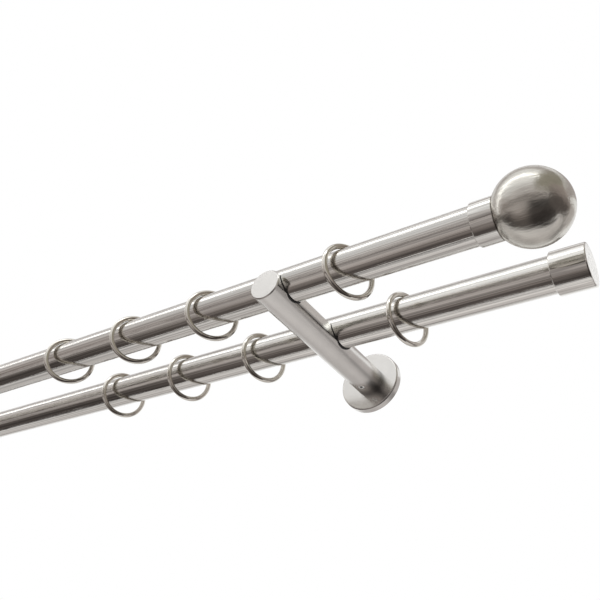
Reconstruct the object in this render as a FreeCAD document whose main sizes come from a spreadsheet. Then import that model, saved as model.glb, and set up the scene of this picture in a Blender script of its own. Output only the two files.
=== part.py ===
# Double curtain pole: two round poles lying in the saddles of two wall brackets, with a ball
# finial on each end of the front pole, a flat cap on each end of the rear pole, and loose rings.
# X runs along the poles, +Y into the wall, +Z up. The origin is on the wall, in the middle of
# the four wall screw holes, at the height of the bracket arms' axes. Lengths are millimetres.
import FreeCAD, Part
import math
import os

import Sketcher

SIZES = [
    ("pole_diameter", 20, "outside of both pole tubes"),
    ("pole_wall", 1, "wall of the pole tubes"),
    ("bracket_spacing", 757, "centre to centre of the two brackets"),
    ("front_overhang", 121.5, "bracket to the end of the front pole, which carries the balls"),
    ("rear_overhang", 148.5, "bracket to the end of the rear pole, which carries the flat caps"),
    ("rear_pole_reach", 51.5, "wall to the rear pole's axis"),
    ("pole_spacing", 51, "rear pole's axis to the front pole's axis"),
    ("pole_rise", 6.5, "height of the pole axes above the arm's axis"),
    ("arm_diameter", 18.5, "round bar of the bracket arm"),
    ("arm_reach", 116.5, "wall to the arm's front face"),
    ("arm_front_wall", 1, "full disc left at the arm's front end"),
    ("arm_front_chamfer", 0.6, "edge of the front disc"),
    ("deck_drop", 3, "level cut along the arm, below its axis"),
    ("channel_width", 8, "slot in the deck that holds the bridge's tongue"),
    ("channel_depth", 3.8, "slot's depth below the deck"),
    ("arm_bore_depth", 22, "blind bore for the wall plate's spigot"),
    ("saddle_pad_wall", 0.8, "black lining under the pole"),
    ("saddle_pad_lip", 0.4, "lining at its two upper edges"),
    ("saddle_pad_proud", 0.15, "lining's edge standing out from the bridge's flats"),
    ("bridge_inset", 0.2, "bridge set back from the arm's round"),
    ("bridge_flat_top", 6.2, "top of the bridge's leaning flats, above the axis"),
    ("bridge_gap", 0.5, "shadow gap between the bridge and the deck"),
    ("push_fit", 0.05, "gap on each side of parts pushed together"),
    ("slide_fit", 0.1, "radial gap round the spigot"),
    ("rosette_diameter", 39.5, "cover cup over the wall plate"),
    ("rosette_depth", 4.8, "wall to the cup's front face"),
    ("rosette_chamfer", 1.2, "bevel round the front face"),
    ("rosette_wall", 1.2, "cup's sheet"),
    ("plate_diameter", 33, "wall plate inside the cup"),
    ("plate_thickness", 2.4, "wall plate"),
    ("spigot_diameter", 12, "peg that carries the arm"),
    ("spigot_reach", 24, "wall to the peg's end"),
    ("spigot_chamfer", 1, "lead-in on the peg's end"),
    ("spigot_flat_depth", 0.8, "flat under the peg for the grub screw"),
    ("spigot_flat_length", 6, "length of that flat"),
    ("wall_screw_spacing", 23, "upper to lower screw hole of a plate"),
    ("wall_screw_hole", 4.6, "screw hole's diameter"),
    ("wall_screw_head", 8.6, "countersink's diameter"),
    ("grub_diameter", 4, "grub screw in the arm's underside"),
    ("grub_reach", 13.4, "wall to the grub screw's axis"),
    ("grub_recess", 0.3, "screw's end below the arm's round"),
    ("grub_chamfer", 0.4, "screw's tip"),
    ("grub_key", 2, "hexagon socket across flats"),
    ("grub_key_depth", 2, "hexagon socket's depth"),
    ("ball_diameter", 37.5, "finial ball"),
    ("ball_wall", 1.2, "ball's shell"),
    ("ball_flat_inset", 1.5, "sleeve's outside to the edge of the ball's flat seat"),
    ("neck_diameter", 12, "boss between sleeve and ball"),
    ("neck_length", 5, "boss's length inside the ball"),
    ("sleeve_wall", 0.95, "ball's sleeve round the pole"),
    ("sleeve_length", 10.5, "sleeve with its end wall"),
    ("sleeve_lip", 0.4, "sleeve's rim that rises round the ball"),
    ("sleeve_round", 0.3, "rounding of that rim's outer edge"),
    ("cap_wall", 1.55, "flat end cap round the pole"),
    ("cap_length", 18.1, "cap with its end wall"),
    ("cap_end_wall", 2.4, "wall behind the pole's end in the cap"),
    ("cap_round", 0.5, "rounding of the cap's outer edge"),
    ("sleeve_end_wall", 2, "wall behind the pole's end in the sleeve"),
    ("rim_chamfer", 0.4, "open rims of sleeve and cap"),
    ("ring_inner_diameter", 27, "curtain ring"),
    ("ring_wire", 3, "curtain ring's round wire"),
    ("ring_gap", 0.15, "gap between a ring and the top of its pole"),
    ("ring_start", 49, "bracket to the nearest ring on its inner side"),
    ("ring_pitch", 62.5, "ring to ring on the inner side"),
    ("front_end_ring", 43.5, "bracket to the ring beside the ball finial"),
    ("rear_end_ring", 51, "bracket to the ring beside the flat cap"),
    ("front_end_ring_turn", 23, "degrees that the front pole's end rings stand turned"),
    ("front_inner_ring_turn", 30, "the same for its inner rings"),
    ("rear_end_ring_turn", 16, "degrees that the rear pole's end rings stand turned"),
    ("rear_inner_ring_turn", 19, "the same for its inner rings"),
]

INNER_RINGS = 3

doc = FreeCAD.newDocument("DoubleCurtainPole")
sheet = doc.addObject("Spreadsheet::Sheet", "Sizes")
for row, (alias, size, meaning) in enumerate(SIZES, start=1):
    sheet.set(f"A{row}", meaning)
    sheet.set(f"B{row}", str(size))
    sheet.setAlias(f"B{row}", alias)
doc.recompute()

bodies = []


def size_of(alias):
    return float(getattr(sheet, alias))


# Building blocks shared by the pieces


def new_body(label):
    body = doc.addObject("PartDesign::Body", label)
    body.Label = label
    bodies.append(body)
    return body


def place(body, x="0", y="0", z="0", turn=0.0):
    """Puts a body at x, y, z, turned by so many degrees about its own vertical axis."""
    upright = FreeCAD.Vector(0, 0, 1)
    body.Placement = FreeCAD.Placement(FreeCAD.Vector(), FreeCAD.Rotation(upright, turn))
    body.setExpression("Placement.Base.x", x)
    body.setExpression("Placement.Base.y", y)
    body.setExpression("Placement.Base.z", z)


def new_sketch(body, name, role, offset="0"):
    """Sketch on one of the body's own origin planes, moved along the plane's normal."""
    sketch = body.newObject("Sketcher::SketchObject", f"{body.Label}_{name}")
    plane = next(item for item in body.Origin.OriginFeatures if item.Role == role)
    sketch.AttachmentSupport = (plane, [""])
    sketch.MapMode = "FlatFace"
    sketch.setExpression("AttachmentOffset.Base.z", offset)
    return sketch


def bind(sketch, constraint, size, name):
    index = sketch.addConstraint(constraint)
    sketch.renameConstraint(index, name)
    sketch.setExpression(f"Constraints.{name}", size)


def pin_across(sketch, line, end, across, name):
    """Fixes how far a point of the sketch lies across from the sketch's origin."""
    rough = sketch.getPoint(line, end).x
    bind(sketch, Sketcher.Constraint("DistanceX", -1, 1, line, end, rough), across, f"{name}_across")


def pin_up(sketch, line, end, up, name):
    """Fixes how far a point of the sketch lies up from the sketch's origin."""
    rough = sketch.getPoint(line, end).y
    bind(sketch, Sketcher.Constraint("DistanceY", -1, 1, line, end, rough), up, f"{name}_up")


def pin_point(sketch, line, end, across, up, name):
    pin_across(sketch, line, end, across, name)
    pin_up(sketch, line, end, up, name)


def add_circle(sketch, radius, across="0", up="0"):
    name = f"circle{sketch.GeometryCount}"
    circle = Part.Circle(FreeCAD.Vector(1, 1, 0), FreeCAD.Vector(0, 0, 1), 1)
    line = sketch.addGeometry(circle)
    pin_point(sketch, line, 3, across, up, name)
    bind(sketch, Sketcher.Constraint("Radius", line, 1.0), radius, f"{name}_radius")


def add_polygon(sketch, corners):
    """Closed outline through corners, each given by its distances across and up."""
    first = sketch.GeometryCount
    count = len(corners)
    angles = [2 * math.pi * step / count for step in range(count)]
    rough = [FreeCAD.Vector(9 * math.cos(a), 9 * math.sin(a), 0) for a in angles]
    for step in range(count):
        sketch.addGeometry(Part.LineSegment(rough[step], rough[(step + 1) % count]))
    for step, (across, up) in enumerate(corners):
        line = first + step
        sketch.addConstraint(Sketcher.Constraint("Coincident", line, 1, first + (step - 1) % count, 2))
        pin_point(sketch, line, 1, across, up, f"corner{line}")


def add_arc(sketch, centre, radius, start, end):
    """Arc counter-clockwise between two angles in degrees, by its centre and radius."""
    name = f"arc{sketch.GeometryCount}"
    circle = Part.Circle(FreeCAD.Vector(1, 1, 0), FreeCAD.Vector(0, 0, 1), 5)
    line = sketch.addGeometry(Part.ArcOfCircle(circle, math.radians(start), math.radians(end)))
    pin_point(sketch, line, 3, centre[0], centre[1], name)
    bind(sketch, Sketcher.Constraint("Radius", line, 5.0), radius, f"{name}_radius")
    return line


def join_ends(sketch, first, second):
    """Closes the gap between the end of one curve and the start of the next with one point."""
    sketch.addConstraint(Sketcher.Constraint("Coincident", first[0], first[1], second[0], second[1]))


def add_line(sketch, start, end):
    line = Part.LineSegment(FreeCAD.Vector(*start, 0), FreeCAD.Vector(*end, 0))
    return sketch.addGeometry(line)


def finish(body, feature, kind):
    doc.recompute()
    shape = feature.Shape
    if shape.isNull() or not shape.isValid():
        raise RuntimeError(f"{body.Label}: the {kind} gave no valid solid")
    return feature


def pad(body, sketch, length, both_sides=False):
    feature = body.newObject("PartDesign::Pad", f"{sketch.Name}_pad")
    feature.Profile = sketch
    feature.SideType = "Symmetric" if both_sides else "One side"
    feature.setExpression("Length", length)
    return finish(body, feature, "pad")


def pocket(body, sketch, length, both_sides=False, along_normal=False):
    """Cuts the sketch out of the body, against its normal unless told otherwise."""
    before = body.Shape.Volume
    feature = body.newObject("PartDesign::Pocket", f"{sketch.Name}_pocket")
    feature.Profile = sketch
    feature.SideType = "Symmetric" if both_sides else "One side"
    feature.Reversed = along_normal
    feature.setExpression("Length", length)
    finish(body, feature, "pocket")
    if feature.Shape.Volume > before - 0.01:
        raise RuntimeError(f"{sketch.Name}: the pocket cuts nothing")
    return feature


def revolve(body, sketch, axis):
    feature = body.newObject("PartDesign::Revolution", f"{sketch.Name}_turned")
    feature.Profile = sketch
    feature.ReferenceAxis = (sketch, [axis])
    feature.Angle = 360
    return finish(body, feature, "revolution")


def edges_where(feature, wanted):
    return [f"Edge{number}" for number, edge in enumerate(feature.Shape.Edges, start=1) if wanted(edge)]


def chamfer(body, feature, size, wanted):
    cut = body.newObject("PartDesign::Chamfer", f"{feature.Name}_chamfer")
    cut.Base = (feature, edges_where(feature, wanted))
    cut.setExpression("Size", size)
    return finish(body, cut, "chamfer")


def round_off(body, feature, radius, wanted):
    rounded = body.newObject("PartDesign::Fillet", f"{feature.Name}_rounding")
    rounded.Base = (feature, edges_where(feature, wanted))
    rounded.setExpression("Radius", radius)
    return finish(body, rounded, "rounding")


# Distances used by more than one piece, written in the sheet's names

POLE_RADIUS = "Sizes.pole_diameter / 2"
SADDLE_RADIUS = "(Sizes.pole_diameter / 2 + Sizes.saddle_pad_lip)"
BED_DROP = "(Sizes.saddle_pad_wall - Sizes.saddle_pad_lip)"
SADDLE_UP = f"(Sizes.pole_rise - {BED_DROP})"
ARM_RADIUS = "Sizes.arm_diameter / 2"
SPIGOT_HOLE_RADIUS = "(Sizes.spigot_diameter / 2 + Sizes.slide_fit)"
POLE_HOLE_RADIUS = "(Sizes.pole_diameter / 2 + Sizes.push_fit)"
SLEEVE_RADIUS = f"({POLE_HOLE_RADIUS} + Sizes.sleeve_wall)"
CAP_RADIUS = f"({POLE_HOLE_RADIUS} + Sizes.cap_wall)"
BALL_RADIUS = "(Sizes.ball_diameter / 2)"
BALL_FLAT_RADIUS = f"({SLEEVE_RADIUS} - Sizes.ball_flat_inset)"
BALL_CENTRE = f"(Sizes.sleeve_end_wall + sqrt({BALL_RADIUS} ^ 2 - {BALL_FLAT_RADIUS} ^ 2))"
BRIDGE_RADIUS = f"({ARM_RADIUS} - Sizes.bridge_inset)"
BRIDGE_FOOT_UP = "(Sizes.bridge_gap - Sizes.deck_drop)"
BRIDGE_FOOT_ACROSS = f"sqrt({BRIDGE_RADIUS} ^ 2 - {BRIDGE_FOOT_UP} ^ 2)"
BRIDGE_TOP_ACROSS = f"sqrt({BRIDGE_RADIUS} ^ 2 - Sizes.bridge_flat_top ^ 2)"
REAR_Y = "-Sizes.rear_pole_reach"
FRONT_Y = "-(Sizes.rear_pole_reach + Sizes.pole_spacing)"
DECK_FRONT_Y = "-(Sizes.arm_reach - Sizes.arm_front_wall)"
HALF_SPACING = "Sizes.bracket_spacing / 2"
SIDES = (("left", -1), ("right", 1))


# Poles


def make_pole(label, overhang, depth):
    body = new_body(label)
    sketch = new_sketch(body, "section", "YZ_Plane")
    add_circle(sketch, POLE_RADIUS)
    add_circle(sketch, f"{POLE_RADIUS} - Sizes.pole_wall")
    pad(body, sketch, f"Sizes.bracket_spacing + 2 * {overhang}", both_sides=True)
    place(body, y=depth, z="Sizes.pole_rise")


# Bracket arm with its two saddles, and the bridge that fills the arm's upper half between them


def add_saddle(sketch, depth):
    """U-shaped notch, open at the top: a half round with straight walls above it."""
    reach = size_of("arm_diameter")
    arc = add_arc(sketch, (depth, SADDLE_UP), SADDLE_RADIUS, 180, 360)
    right = add_line(sketch, (6, 1), (6, reach))
    top = add_line(sketch, (6, reach), (-4, reach))
    left = add_line(sketch, (-4, reach), (-4, 1))
    join_ends(sketch, (arc, 2), (right, 1))
    join_ends(sketch, (right, 2), (top, 1))
    join_ends(sketch, (top, 2), (left, 1))
    join_ends(sketch, (left, 2), (arc, 1))
    sketch.addConstraint(Sketcher.Constraint("Vertical", right))
    sketch.addConstraint(Sketcher.Constraint("Horizontal", top))
    sketch.addConstraint(Sketcher.Constraint("Vertical", left))
    sketch.addConstraint(Sketcher.Constraint("Horizontal", arc, 1, arc, 3))
    sketch.addConstraint(Sketcher.Constraint("Horizontal", arc, 2, arc, 3))
    pin_up(sketch, top, 1, "Sizes.pole_rise + Sizes.arm_diameter", f"saddle{arc}_top")


def cut_saddles(body):
    sketch = new_sketch(body, "saddles", "YZ_Plane")
    add_saddle(sketch, REAR_Y)
    add_saddle(sketch, FRONT_Y)
    pocket(body, sketch, "Sizes.arm_diameter * 2", both_sides=True)


def add_rectangle(sketch, low, high):
    add_polygon(sketch, [(low[0], low[1]), (high[0], low[1]), (high[0], high[1]), (low[0], high[1])])


def make_arm(side, sign):
    body = new_body(f"{side}_arm")
    bar = new_sketch(body, "bar", "XZ_Plane", "Sizes.rosette_depth")
    add_circle(bar, ARM_RADIUS)
    solid = pad(body, bar, "Sizes.arm_reach - Sizes.rosette_depth")

    front_y = -size_of("arm_reach")
    chamfer(body, solid, "Sizes.arm_front_chamfer", lambda edge: edge.BoundBox.YMax < front_y + 0.01)

    deck = new_sketch(body, "deck", "YZ_Plane")
    add_rectangle(deck, (DECK_FRONT_Y, "-Sizes.deck_drop"), (REAR_Y, "Sizes.arm_diameter"))
    pocket(body, deck, "Sizes.arm_diameter * 2", both_sides=True)

    channel = new_sketch(body, "channel", "YZ_Plane")
    add_rectangle(channel, (DECK_FRONT_Y, "-(Sizes.deck_drop + Sizes.channel_depth)"), (REAR_Y, "0"))
    pocket(body, channel, "Sizes.channel_width", both_sides=True)

    cut_saddles(body)

    bore = new_sketch(body, "bore", "XZ_Plane", "Sizes.rosette_depth")
    add_circle(bore, SPIGOT_HOLE_RADIUS)
    pocket(body, bore, "Sizes.arm_bore_depth", along_normal=True)

    grub_hole = new_sketch(body, "grub_hole", "XY_Plane")
    add_circle(grub_hole, "Sizes.grub_diameter / 2", up="-Sizes.grub_reach")
    pocket(body, grub_hole, "Sizes.arm_diameter")
    place(body, x=f"{sign} * {HALF_SPACING}")


def make_bridge(side, sign):
    body = new_body(f"{side}_saddle_bridge")
    section = new_sketch(body, "section", "XZ_Plane", "Sizes.rear_pole_reach")
    crown = add_arc(section, ("0", "0"), BRIDGE_RADIUS, 43, 137)
    left_flat = add_line(section, (-6, 6), (-8, -3))
    foot = add_line(section, (-8, -3), (8, -3))
    right_flat = add_line(section, (8, -3), (6, 6))
    join_ends(section, (crown, 2), (left_flat, 1))
    join_ends(section, (left_flat, 2), (foot, 1))
    join_ends(section, (foot, 2), (right_flat, 1))
    join_ends(section, (right_flat, 2), (crown, 1))
    pin_point(section, foot, 1, f"-{BRIDGE_FOOT_ACROSS}", BRIDGE_FOOT_UP, "left_foot")
    pin_point(section, foot, 2, BRIDGE_FOOT_ACROSS, BRIDGE_FOOT_UP, "right_foot")
    pin_across(section, right_flat, 2, BRIDGE_TOP_ACROSS, "right_shoulder")
    pin_across(section, left_flat, 1, f"-{BRIDGE_TOP_ACROSS}", "left_shoulder")
    run = "Sizes.arm_reach - Sizes.arm_front_wall - Sizes.rear_pole_reach - Sizes.push_fit"
    pad(body, section, run)

    tongue = new_sketch(body, "tongue", "YZ_Plane")
    front = f"{DECK_FRONT_Y} + Sizes.push_fit"
    rear = f"{REAR_Y} - Sizes.push_fit"
    add_rectangle(tongue, (front, "-(Sizes.deck_drop + Sizes.channel_depth)"), (rear, "0"))
    pad(body, tongue, "Sizes.channel_width - 2 * Sizes.push_fit", both_sides=True)

    cut_saddles(body)
    place(body, x=f"{sign} * {HALF_SPACING}")


def make_pad(side, sign, row, depth):
    """Thin half-round lining in which a pole lies, thickest under the pole, drawn about its axis."""
    body = new_body(f"{side}_{row}_saddle_pad")
    sketch = new_sketch(body, "section", "YZ_Plane")
    outer = add_arc(sketch, ("0", f"-{BED_DROP}"), SADDLE_RADIUS, 180, 360)
    inner = add_arc(sketch, ("0", "0"), POLE_RADIUS, 180, 360)
    right_wall = add_line(sketch, (6, 1), (6, 2))
    right_rim = add_line(sketch, (6, 2), (5, 2))
    left_rim = add_line(sketch, (-3, 2), (-4, 2))
    left_wall = add_line(sketch, (-4, 2), (-4, 1))
    join_ends(sketch, (outer, 2), (right_wall, 1))
    join_ends(sketch, (right_wall, 2), (right_rim, 1))
    join_ends(sketch, (right_rim, 2), (inner, 2))
    join_ends(sketch, (inner, 1), (left_rim, 1))
    join_ends(sketch, (left_rim, 2), (left_wall, 1))
    join_ends(sketch, (left_wall, 2), (outer, 1))
    for wall in (left_wall, right_wall):
        sketch.addConstraint(Sketcher.Constraint("Vertical", wall))
    for rim in (left_rim, right_rim):
        sketch.addConstraint(Sketcher.Constraint("Horizontal", rim))
    for arc in (outer, inner):
        for end in (1, 2):
            sketch.addConstraint(Sketcher.Constraint("Horizontal", arc, end, arc, 3))
    pad(body, sketch, "Sizes.arm_diameter", both_sides=True)

    trim = new_sketch(body, "trim", "XZ_Plane")
    low, high, wide = "-Sizes.arm_diameter", "Sizes.arm_diameter", "Sizes.arm_diameter"
    foot = f"({BRIDGE_FOOT_ACROSS} + Sizes.saddle_pad_proud)"
    top = f"({BRIDGE_TOP_ACROSS} + Sizes.saddle_pad_proud)"
    for way in ("", "-"):
        add_polygon(trim, [
            (way + foot, low),
            (way + foot, f"{BRIDGE_FOOT_UP} - Sizes.pole_rise"),
            (way + top, "Sizes.bridge_flat_top - Sizes.pole_rise"),
            (way + top, high),
            (way + wide, high),
            (way + wide, low),
        ])
    pocket(body, trim, "Sizes.pole_diameter * 2", both_sides=True)
    place(body, x=f"{sign} * {HALF_SPACING}", y=depth, z="Sizes.pole_rise")


# Wall fixing: plate with its spigot, cover cup and grub screw


def make_rosette(side, sign):
    body = new_body(f"{side}_rosette")
    sketch = new_sketch(body, "section", "XY_Plane")
    rim = "Sizes.rosette_diameter / 2"
    front = "-Sizes.rosette_depth"
    add_polygon(sketch, [
        (SPIGOT_HOLE_RADIUS, front),
        (f"{rim} - Sizes.rosette_chamfer", front),
        (rim, f"{front} + Sizes.rosette_chamfer"),
        (rim, "0"),
        (f"{rim} - Sizes.rosette_wall", "0"),
        (f"{rim} - Sizes.rosette_wall", f"{front} + Sizes.rosette_wall"),
        (SPIGOT_HOLE_RADIUS, f"{front} + Sizes.rosette_wall"),
    ])
    revolve(body, sketch, "V_Axis")
    place(body, x=f"{sign} * {HALF_SPACING}")


def make_wall_plate(side, sign):
    body = new_body(f"{side}_wall_plate")
    sketch = new_sketch(body, "section", "XY_Plane")
    rim = "Sizes.plate_diameter / 2"
    peg = "Sizes.spigot_diameter / 2"
    add_polygon(sketch, [
        ("0", "0"),
        (rim, "0"),
        (rim, "-Sizes.plate_thickness"),
        (peg, "-Sizes.plate_thickness"),
        (peg, "-Sizes.spigot_reach + Sizes.spigot_chamfer"),
        (f"{peg} - Sizes.spigot_chamfer", "-Sizes.spigot_reach"),
        ("0", "-Sizes.spigot_reach"),
    ])
    revolve(body, sketch, "V_Axis")

    flat = new_sketch(body, "grub_flat", "YZ_Plane")
    half = "Sizes.spigot_flat_length / 2"
    low = (f"-Sizes.grub_reach - {half}", f"-{peg} - Sizes.spigot_flat_depth")
    high = (f"-Sizes.grub_reach + {half}", f"-{peg} + Sizes.spigot_flat_depth")
    add_rectangle(flat, low, high)
    pocket(body, flat, "Sizes.spigot_diameter * 2", both_sides=True)

    holes = new_sketch(body, "screw_holes", "XZ_Plane", "Sizes.plate_thickness")
    for direction in ("-", ""):
        add_circle(holes, "Sizes.wall_screw_hole / 2", up=f"{direction}Sizes.wall_screw_spacing / 2")
    doc.recompute()
    drilled = body.newObject("PartDesign::Hole", f"{side}_wall_screws")
    drilled.Profile = holes
    drilled.DepthType = "ThroughAll"
    drilled.setExpression("Diameter", "Sizes.wall_screw_hole")
    drilled.HoleCutType = "Countersink"
    drilled.HoleCutCustomValues = True
    drilled.setExpression("HoleCutDiameter", "Sizes.wall_screw_head")
    drilled.HoleCutCountersinkAngle = 90
    finish(body, drilled, "screw holes")
    place(body, x=f"{sign} * {HALF_SPACING}")


def make_grub_screw(side, sign):
    body = new_body(f"{side}_grub_screw")
    radius = "Sizes.grub_diameter / 2"
    tip = "-(Sizes.spigot_diameter / 2 - Sizes.spigot_flat_depth)"
    end = f"-({ARM_RADIUS} - Sizes.grub_recess)"
    sketch = new_sketch(body, "section", "XZ_Plane")
    add_polygon(sketch, [
        ("0", end),
        (radius, end),
        (radius, f"{tip} - Sizes.grub_chamfer"),
        (f"{radius} - Sizes.grub_chamfer", tip),
        ("0", tip),
    ])
    revolve(body, sketch, "V_Axis")

    key = new_sketch(body, "key", "XY_Plane", end)
    corner = "Sizes.grub_key / sqrt(3)"
    add_polygon(key, [(f"{corner} * cos({60 * step})", f"{corner} * sin({60 * step})") for step in range(6)])
    pocket(body, key, "Sizes.grub_key_depth", along_normal=True)
    place(body, x=f"{sign} * {HALF_SPACING}", y="-Sizes.grub_reach")


# Pole ends. Each is turned about X, with its origin at the end of the pole tube.


def make_sleeve(side, sign):
    """Sleeve over the pole's end, with a rim round the ball and a boss inside it."""
    body = new_body(f"{side}_finial_sleeve")
    sketch = new_sketch(body, "section", "XZ_Plane")
    mouth = "(Sizes.sleeve_end_wall - Sizes.sleeve_length)"
    neck_end = "Sizes.sleeve_end_wall + Sizes.neck_length"
    lip_inside = f"({SLEEVE_RADIUS} - Sizes.sleeve_lip)"
    lip_end = f"({BALL_CENTRE} - sqrt({BALL_RADIUS} ^ 2 - {lip_inside} ^ 2) - Sizes.push_fit)"
    add_polygon(sketch, [
        (mouth, POLE_HOLE_RADIUS),
        (mouth, f"{SLEEVE_RADIUS} - Sizes.rim_chamfer"),
        (f"{mouth} + Sizes.rim_chamfer", SLEEVE_RADIUS),
        (lip_end, SLEEVE_RADIUS),
        (lip_end, lip_inside),
        ("Sizes.sleeve_end_wall", f"{BALL_FLAT_RADIUS} + 2 * Sizes.push_fit"),
        ("Sizes.sleeve_end_wall", "Sizes.neck_diameter / 2"),
        (neck_end, "Sizes.neck_diameter / 2"),
        (neck_end, "0"),
        ("0", "0"),
        ("0", POLE_HOLE_RADIUS),
    ])
    turned = revolve(body, sketch, "H_Axis")
    inside_rim = size_of("pole_diameter") / 2 + size_of("sleeve_wall") / 2
    round_off(
        body, turned, "Sizes.sleeve_round",
        lambda edge: edge.BoundBox.XMin > 0 and edge.BoundBox.ZMax > inside_rim,
    )
    place_end(body, sign, "Sizes.front_overhang", FRONT_Y)


def make_ball(side, sign):
    """Hollow ball with a flat seat and a hole for the sleeve's boss."""
    body = new_body(f"{side}_finial_ball")
    sketch = new_sketch(body, "section", "XZ_Plane")
    seat = "Sizes.sleeve_end_wall"
    inside = f"({seat} + Sizes.ball_wall)"
    outer = add_arc(sketch, (BALL_CENTRE, "0"), BALL_RADIUS, 0, 150)
    inner = add_arc(sketch, (BALL_CENTRE, "0"), f"{BALL_RADIUS} - Sizes.ball_wall", 0, 150)
    seat_line = add_line(sketch, (-3, 3), (-3, 2))
    hole_line = add_line(sketch, (-3, 2), (-2, 2))
    inner_seat = add_line(sketch, (-2, 2), (-2, 3))
    pole_line = add_line(sketch, (6, 1), (7, 1))
    join_ends(sketch, (outer, 2), (seat_line, 1))
    join_ends(sketch, (seat_line, 2), (hole_line, 1))
    join_ends(sketch, (hole_line, 2), (inner_seat, 1))
    join_ends(sketch, (inner_seat, 2), (inner, 2))
    join_ends(sketch, (inner, 1), (pole_line, 1))
    join_ends(sketch, (pole_line, 2), (outer, 1))
    pin_point(sketch, hole_line, 1, seat, "Sizes.neck_diameter / 2", "neck_outer")
    pin_point(sketch, hole_line, 2, inside, "Sizes.neck_diameter / 2", "neck_inner")
    sketch.addConstraint(Sketcher.Constraint("Vertical", seat_line))
    sketch.addConstraint(Sketcher.Constraint("Vertical", inner_seat))
    sketch.addConstraint(Sketcher.Constraint("PointOnObject", outer, 1, -1))
    sketch.addConstraint(Sketcher.Constraint("PointOnObject", inner, 1, -1))
    revolve(body, sketch, "H_Axis")
    place_end(body, sign, "Sizes.front_overhang", FRONT_Y)


def make_cap(side, sign):
    body = new_body(f"{side}_end_cap")
    sketch = new_sketch(body, "section", "XZ_Plane")
    mouth = "(Sizes.cap_end_wall - Sizes.cap_length)"
    add_polygon(sketch, [
        (mouth, POLE_HOLE_RADIUS),
        (mouth, f"{CAP_RADIUS} - Sizes.rim_chamfer"),
        (f"{mouth} + Sizes.rim_chamfer", CAP_RADIUS),
        ("Sizes.cap_end_wall", CAP_RADIUS),
        ("Sizes.cap_end_wall", "0"),
        ("0", "0"),
        ("0", POLE_HOLE_RADIUS),
    ])
    turned = revolve(body, sketch, "H_Axis")
    end_x = size_of("cap_end_wall")
    round_off(body, turned, "Sizes.cap_round", lambda edge: edge.BoundBox.XMin > end_x - 0.01)
    place_end(body, sign, "Sizes.rear_overhang", REAR_Y)


def place_end(body, sign, overhang, depth):
    turn = 0 if sign > 0 else 180
    place(body, x=f"{sign} * ({HALF_SPACING} + {overhang})", y=depth, z="Sizes.pole_rise", turn=turn)


# Curtain rings, hanging on the top of their pole and turned a little as rings hang


def make_ring(row, side, sign, number, from_bracket, depth, turn):
    body = new_body(f"{row}_{side}_ring_{number}")
    sketch = new_sketch(body, "section", "XZ_Plane")
    add_circle(sketch, "Sizes.ring_wire / 2", up="(Sizes.ring_inner_diameter + Sizes.ring_wire) / 2")
    revolve(body, sketch, "H_Axis")
    hang = f"Sizes.pole_rise + {POLE_RADIUS} + Sizes.ring_gap - Sizes.ring_inner_diameter / 2"
    place(body, x=f"{sign} * ({HALF_SPACING} + {from_bracket})", y=depth, z=hang, turn=-sign * turn)


def make_rings(row, side, sign, depth):
    make_ring(row, side, sign, 1, f"Sizes.{row}_end_ring", depth, size_of(f"{row}_end_ring_turn"))
    for step in range(INNER_RINGS):
        from_bracket = f"-(Sizes.ring_start + {step} * Sizes.ring_pitch)"
        make_ring(row, side, sign, step + 2, from_bracket, depth, size_of(f"{row}_inner_ring_turn"))


make_pole("front_pole", "Sizes.front_overhang", FRONT_Y)
make_pole("rear_pole", "Sizes.rear_overhang", REAR_Y)
for side, sign in SIDES:
    make_arm(side, sign)
    make_bridge(side, sign)
    make_pad(side, sign, "front", FRONT_Y)
    make_pad(side, sign, "rear", REAR_Y)
    make_rosette(side, sign)
    make_wall_plate(side, sign)
    make_grub_screw(side, sign)
    make_sleeve(side, sign)
    make_ball(side, sign)
    make_cap(side, sign)
    make_rings("front", side, sign, FRONT_Y)
    make_rings("rear", side, sign, REAR_Y)
doc.recompute()

for item in doc.Objects:
    if "Invalid" in item.State or "Error" in item.State:
        raise RuntimeError(f"{item.Label} is in state {item.State}")
for body in bodies:
    if body.Shape.isNull() or not body.Shape.isValid() or len(body.Shape.Solids) != 1:
        raise RuntimeError(f"{body.Label} isn't one valid solid")

os.makedirs("parts", exist_ok=True)
for body in bodies:
    body.Shape.exportStep(f"parts/{body.Label}.step")
print(len(bodies), "sub-parts written")
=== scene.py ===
"""Dresses the double curtain pole: brushed tubes, satin brackets, ball finials and bright rings."""

import math

import bpy
from mathutils import Euler, Matrix, Vector


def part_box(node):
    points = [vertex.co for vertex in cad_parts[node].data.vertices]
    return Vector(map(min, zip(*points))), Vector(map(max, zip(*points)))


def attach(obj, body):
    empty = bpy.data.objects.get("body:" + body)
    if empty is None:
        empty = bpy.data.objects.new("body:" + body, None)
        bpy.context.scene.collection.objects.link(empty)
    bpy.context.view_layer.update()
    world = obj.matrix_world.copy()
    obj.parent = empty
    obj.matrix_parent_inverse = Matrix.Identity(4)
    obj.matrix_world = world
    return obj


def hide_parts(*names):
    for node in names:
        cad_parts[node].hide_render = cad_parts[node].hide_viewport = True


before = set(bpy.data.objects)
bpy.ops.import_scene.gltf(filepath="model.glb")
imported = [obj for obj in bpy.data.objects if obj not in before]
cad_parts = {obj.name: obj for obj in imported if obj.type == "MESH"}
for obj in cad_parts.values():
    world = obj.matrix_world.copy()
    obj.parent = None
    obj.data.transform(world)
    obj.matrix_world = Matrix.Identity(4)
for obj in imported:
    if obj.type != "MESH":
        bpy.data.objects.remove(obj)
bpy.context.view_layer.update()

bl_info = {
    "name": "Double curtain pole",
    "version": (1, 0, 0),
    "blender": (4, 5, 0),
    "location": "3D View > Sidebar > Curtain pole",
    "description": "Builds the looks of a double curtain pole around its solid model",
    "category": "Object",
}

MM = 0.001
SIDES = {"left": -1, "right": 1}
ROWS = ("front", "rear")
RINGS_PER_ROW = 4
SET = "pole_set"

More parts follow.
